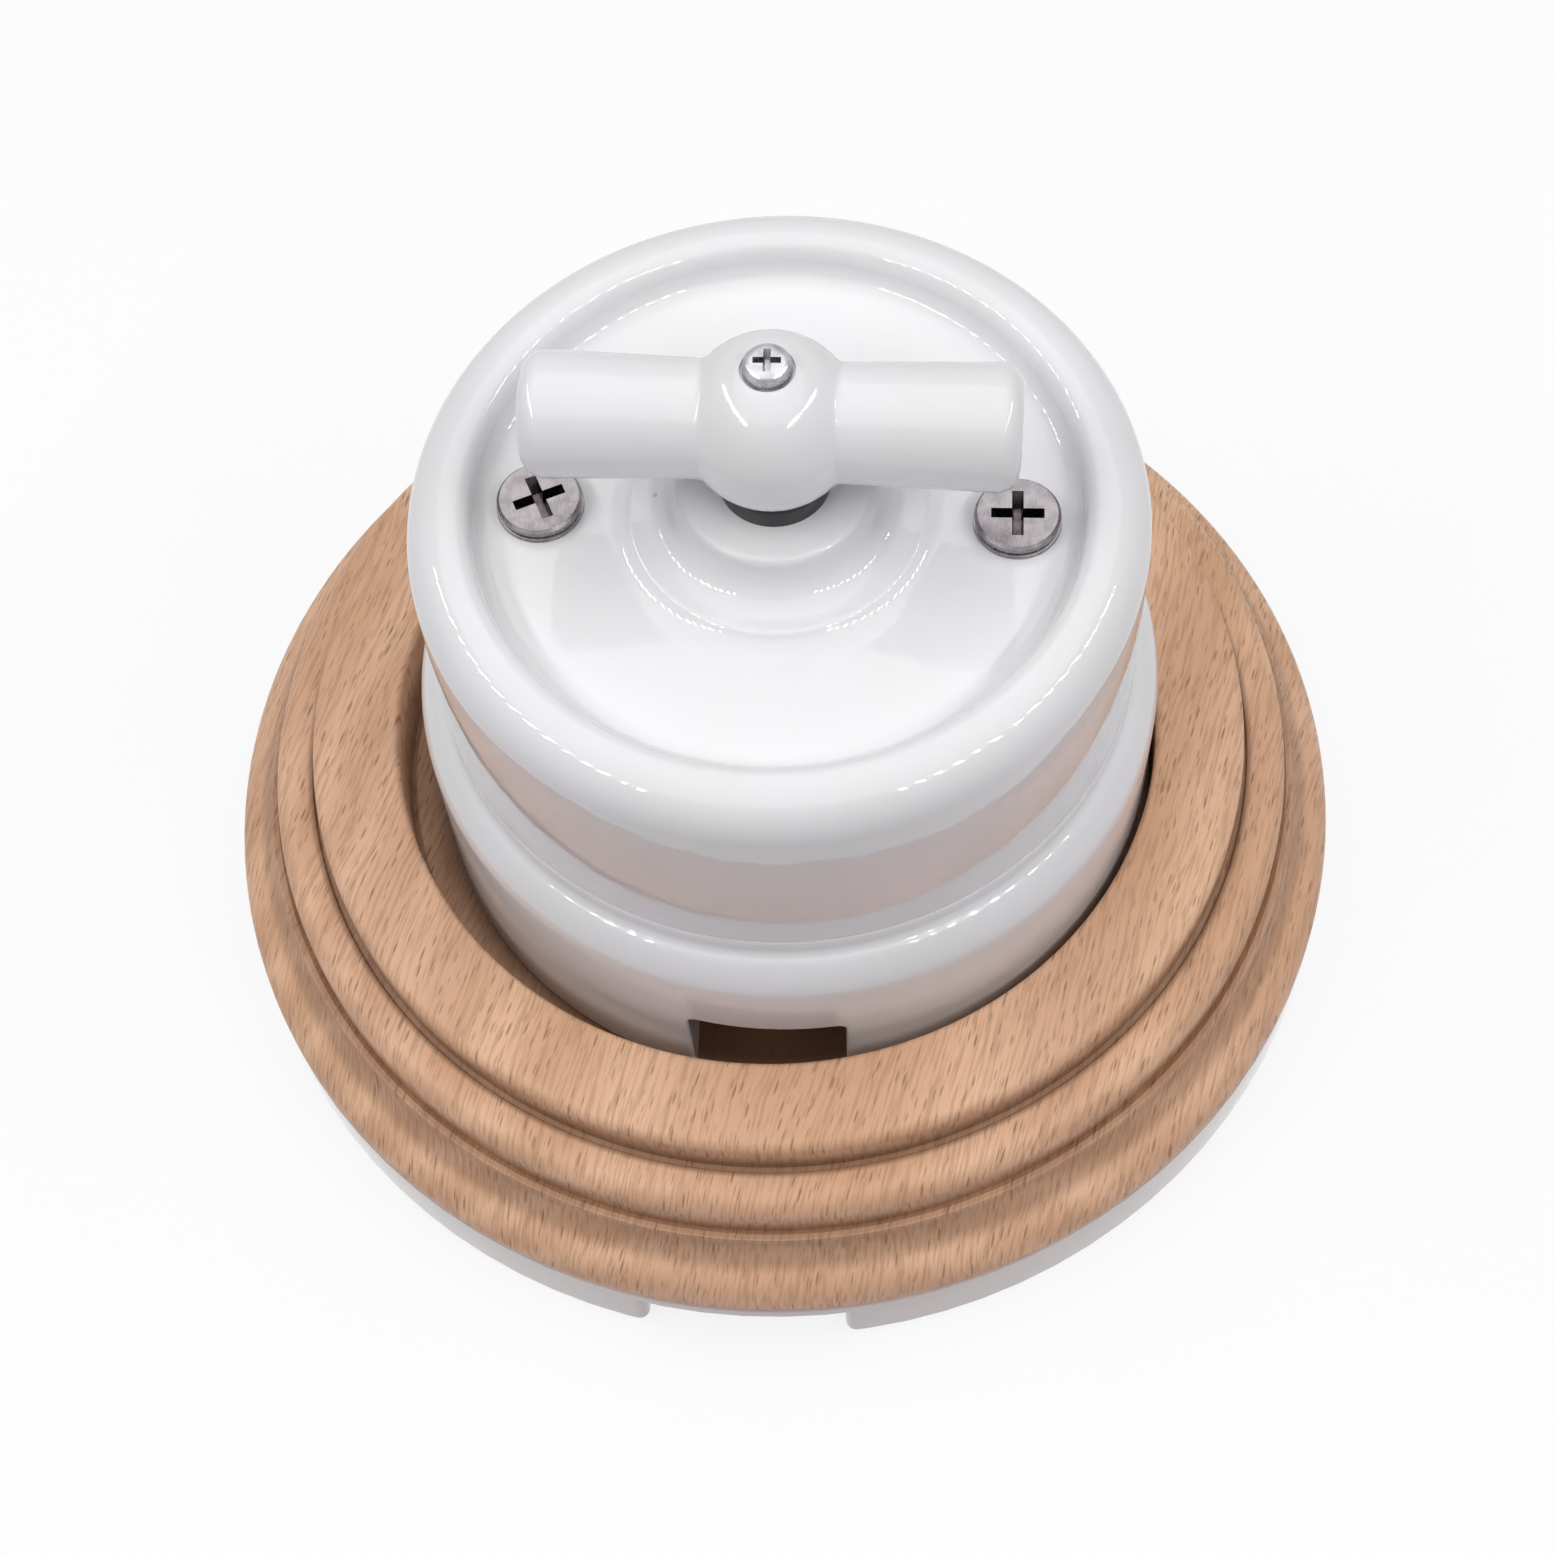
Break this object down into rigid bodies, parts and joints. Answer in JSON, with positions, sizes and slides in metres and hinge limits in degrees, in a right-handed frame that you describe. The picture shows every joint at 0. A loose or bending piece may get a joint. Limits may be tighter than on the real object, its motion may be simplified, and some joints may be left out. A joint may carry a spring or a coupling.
{
  "type": "rotary light switch",
  "caption": "Surface-mounted porcelain rotary light switch with a T-bar knob, on a turned beech plinth with a porcelain back plate and cable notches.",
  "frame": {"origin": "centre of the round back face that lies on the wall", "axes": "+Z out of the wall along the knob's axis, -Y towards the cable notches, X along the knob's arms"},
  "size_m": [0.1116, 0.1116, 0.0814],
  "materials": {
    "porcelain": "white glossy glaze",
    "beech": "turned beech, oiled, fine flecks",
    "zinc_steel": "zinc plated",
    "spring_steel": "rolled spring strip",
    "brass": "pressed brass",
    "dark_moulding": "satin dark grey",
    "brown_moulding": "moulded, semi matt"
  },
  "bodies": {
    "switch": {"back_plate": "porcelain", "wood_base": "beech", "plinth_screws": "zinc_steel", "switch_base": "porcelain", "base_screws": "zinc_steel", "cover_nuts": "brass", "cover": "porcelain", "cover_washers": "zinc_steel", "cover_screws": "zinc_steel", "bush": "dark_moulding", "bush_nut": "dark_moulding", "mechanism_body": "brown_moulding", "mechanism_cap": "brown_moulding", "mechanism_screws": "zinc_steel", "mechanism_nuts": "zinc_steel", "terminal_1": "brass", "terminal_2": "brass", "terminal_3": "brass", "terminal_4": "brass", "terminal_screws": "zinc_steel", "detent_spring_front": "spring_steel", "detent_spring_rear": "spring_steel"},
    "knob": {"knob": "porcelain", "knob_screw": "zinc_steel", "spindle": "zinc_steel", "rotor": "brown_moulding", "contact_bridge": "brass", "detent_cam": "brown_moulding", "spindle_clip": "zinc_steel"}
  },
  "joints": [
    {"name": "knob_turn", "type": "hinge", "parent": "switch", "child": "knob", "pos_m": [0.0016, 0, 0.0732], "axis": [0, 0, 1], "continuous": true, "deforming": ["detent_spring_front", "detent_spring_rear"]}
  ]
}
